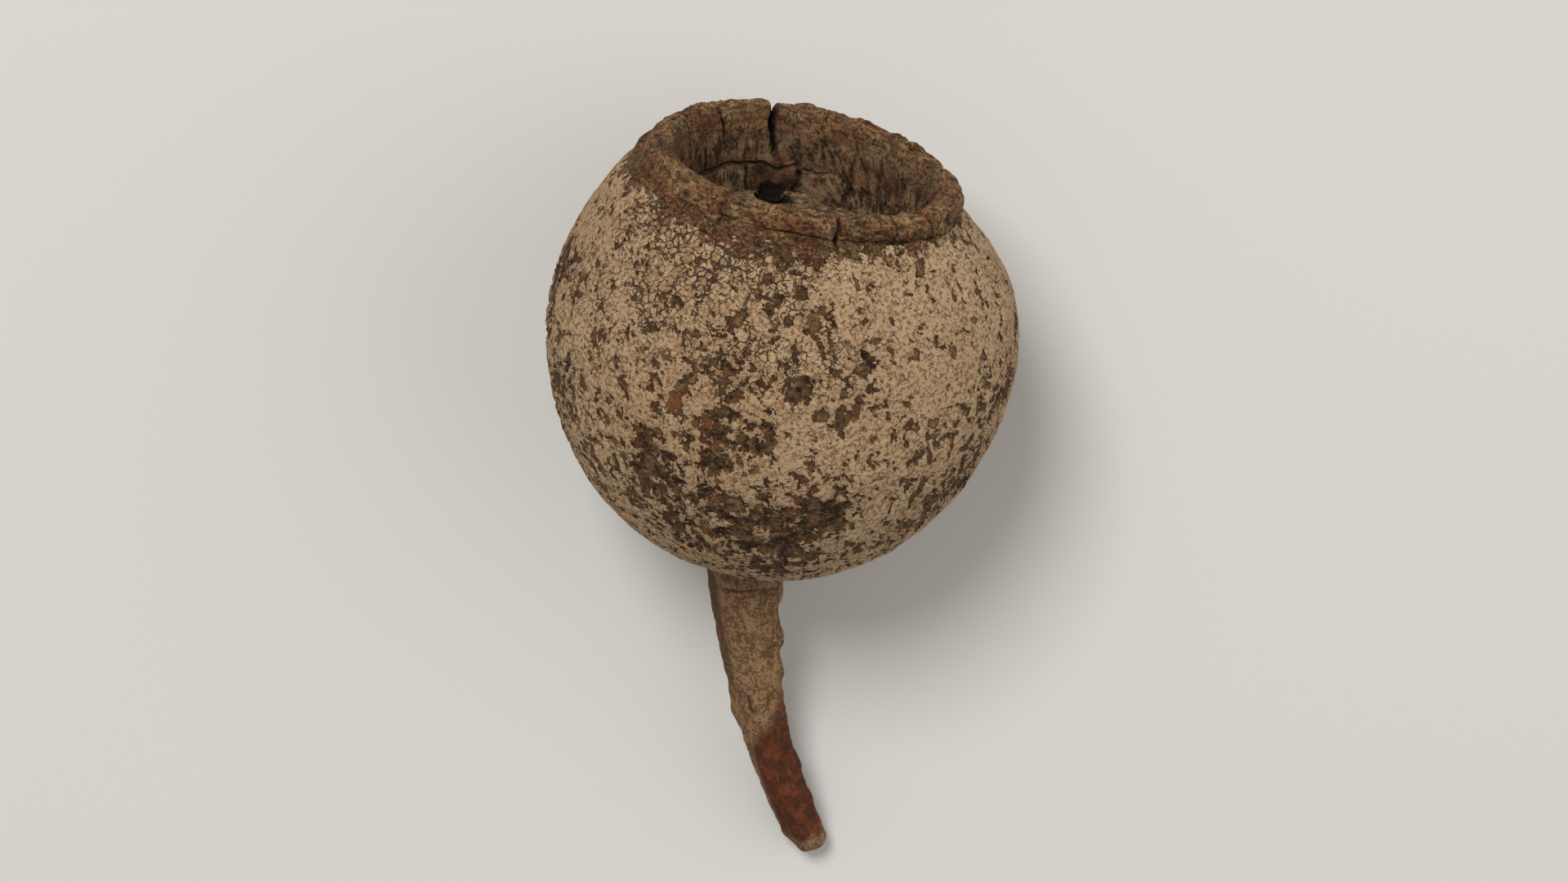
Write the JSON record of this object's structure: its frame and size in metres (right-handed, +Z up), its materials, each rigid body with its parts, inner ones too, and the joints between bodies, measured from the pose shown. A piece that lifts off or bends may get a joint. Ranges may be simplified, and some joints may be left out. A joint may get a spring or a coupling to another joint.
{
  "type": "gum nut",
  "caption": "Woody urn-shaped seed capsule with a thick cracked lip, an open cup-shaped mouth and a bent stalk, lying on its side.",
  "frame": {"origin": "the middle of the small flat spot that the capsule rests on, on the table", "axes": "+Z up from the table; +Y the way the mouth faces, along the table; the stalk runs towards -Y and bends to +X"},
  "size_m": [0.0382, 0.0645, 0.0372],
  "materials": {
    "dry_wood": "raw, dry and matt, with flaking pale skin"
  },
  "bodies": {
    "root": {"gum_nut": "dry_wood"}
  },
  "joints": []
}
